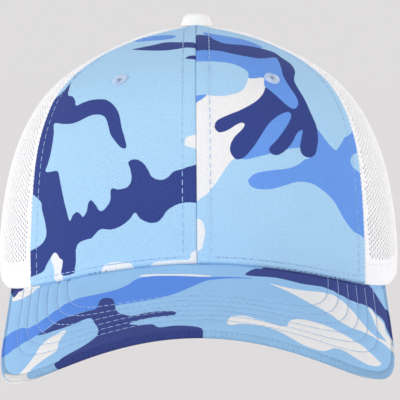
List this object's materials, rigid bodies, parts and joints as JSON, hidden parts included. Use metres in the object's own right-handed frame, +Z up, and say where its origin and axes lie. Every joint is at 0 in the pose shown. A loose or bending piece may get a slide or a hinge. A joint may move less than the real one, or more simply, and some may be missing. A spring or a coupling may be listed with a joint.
{
  "type": "trucker cap",
  "caption": "Structured trucker cap: printed cloth front panels, mesh sides and back, curved stitched visor, covered top button, sweatband and a plastic snap strap.",
  "frame": {"origin": "middle of the head opening, at hem level, between the widest points of the crown", "axes": "+Y towards the back of the cap with the visor at -Y, +Z up to the top button, +X to the right seen from the front"},
  "size_m": [0.1788, 0.2677, 0.1534],
  "materials": {
    "printed_cloth": "matte cotton twill, camouflage print in light blue, mid blue, navy and white",
    "buckram": "matte",
    "mesh": "satin knitted mesh",
    "seam_tape": "matte",
    "binding": "matte",
    "sweatband": "matte",
    "foam": "matte",
    "visor_under_cloth": "matte",
    "visor_board": "matte",
    "button_cloth": "matte",
    "button_metal": "satin",
    "eyelet_thread": "satin thread",
    "snap_plastic": "satin",
    "label": "satin"
  },
  "bodies": {
    "cap": {"front_panel_left": "printed_cloth", "front_panel_right": "printed_cloth", "front_buckram_left": "buckram", "front_buckram_right": "buckram", "side_mesh_left": "mesh", "side_mesh_right": "mesh", "back_mesh_left": "mesh", "back_mesh_right": "mesh", "seam_tape_centre_front": "seam_tape", "seam_tape_front_left": "seam_tape", "seam_tape_front_right": "seam_tape", "seam_tape_back_left": "seam_tape", "seam_tape_back_right": "seam_tape", "seam_tape_centre_back": "seam_tape", "hem_tape_left": "seam_tape", "hem_tape_right": "seam_tape", "sweatband": "sweatband", "sweatband_front_pad": "foam", "rear_arch_binding": "binding", "visor_top_cover": "printed_cloth", "visor_board": "visor_board", "visor_under_cover": "visor_under_cloth", "top_button_cover": "button_cloth", "top_button_post": "button_metal", "button_backing_washer": "button_metal", "eyelet_left": "eyelet_thread", "eyelet_right": "eyelet_thread", "strap_tab_left": "snap_plastic", "strap_tab_right": "snap_plastic", "blank_size_label": "label"},
    "hole_strap": {"snap_strap_holes": "snap_plastic"},
    "peg_strap": {"snap_strap_pegs": "snap_plastic"}
  },
  "joints": [
    {"name": "hole_strap_peel", "type": "hinge", "parent": "cap", "child": "hole_strap", "pos_m": [-0.044, 0.08631, 0.0105], "axis": [0, 0, 1], "range_deg": [0, 50], "stiffness_Nm_per_rad": 0.02},
    {"name": "peg_strap_bend", "type": "hinge", "parent": "cap", "child": "peg_strap", "pos_m": [0.044, 0.08502, 0.0105], "axis": [0, 0, 1], "range_deg": [0, 35], "stiffness_Nm_per_rad": 0.02}
  ]
}
